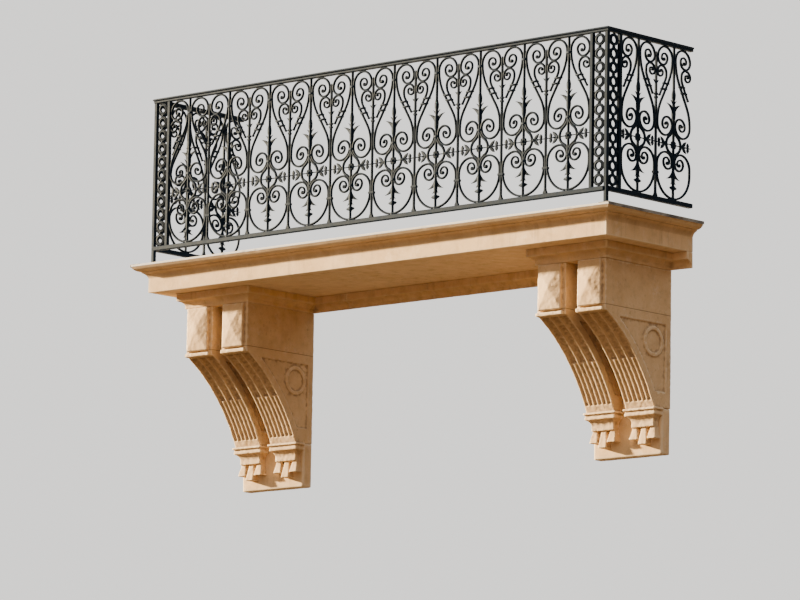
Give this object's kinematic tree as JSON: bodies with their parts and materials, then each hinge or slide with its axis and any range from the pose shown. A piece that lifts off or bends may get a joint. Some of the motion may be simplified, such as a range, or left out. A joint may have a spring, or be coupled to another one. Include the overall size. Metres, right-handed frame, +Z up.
{
  "type": "balcony",
  "caption": "Moulded stone balcony slab on paired scrolled corbels with a scrolled iron railing on three sides.",
  "frame": {"origin": "middle of the slab's back face, on the wall's face", "axes": "+X along the front to the right as seen from the street, +Y into the wall, +Z up"},
  "size_m": [3.774, 0.855, 2.358],
  "materials": {
    "stone": "weathered cream limestone",
    "stone_corbel": "carved cream limestone, weathered",
    "sheet_metal": "dull grey metal sheet",
    "bedding": "rough light bedding",
    "iron": "old dark paint, worn",
    "iron_rails": "old dark paint, worn"
  },
  "bodies": {
    "root": {"balcony_slab": "stone", "slab_capping": "sheet_metal", "post_feet": "bedding", "bed_mould_left": "stone", "bed_mould_right": "stone", "bed_mould_wall": "stone", "corbel_outer_left": "stone_corbel", "corbel_inner_left": "stone_corbel", "corbel_inner_right": "stone_corbel", "corbel_outer_right": "stone_corbel", "backing_pier_left": "stone", "backing_pier_right": "stone", "corner_post_left": "iron_rails", "corner_post_right": "iron_rails", "handrail_front": "iron_rails", "handrail_left": "iron_rails", "handrail_right": "iron_rails", "bottom_rail_front": "iron_rails", "bottom_rail_left": "iron_rails", "bottom_rail_right": "iron_rails", "pilaster_front_left": "iron", "pilaster_front_right": "iron", "pilaster_side_left": "iron", "pilaster_side_right": "iron", "uprights_front": "iron", "uprights_left": "iron", "uprights_right": "iron", "front_panel_01": "iron", "front_panel_02": "iron", "front_panel_03": "iron", "front_panel_04": "iron", "front_panel_05": "iron", "front_panel_06": "iron", "front_panel_07": "iron", "front_panel_08": "iron", "front_panel_09": "iron", "front_panel_10": "iron", "left_panel_1": "iron", "left_panel_2": "iron", "right_panel_1": "iron", "right_panel_2": "iron"}
  },
  "joints": []
}
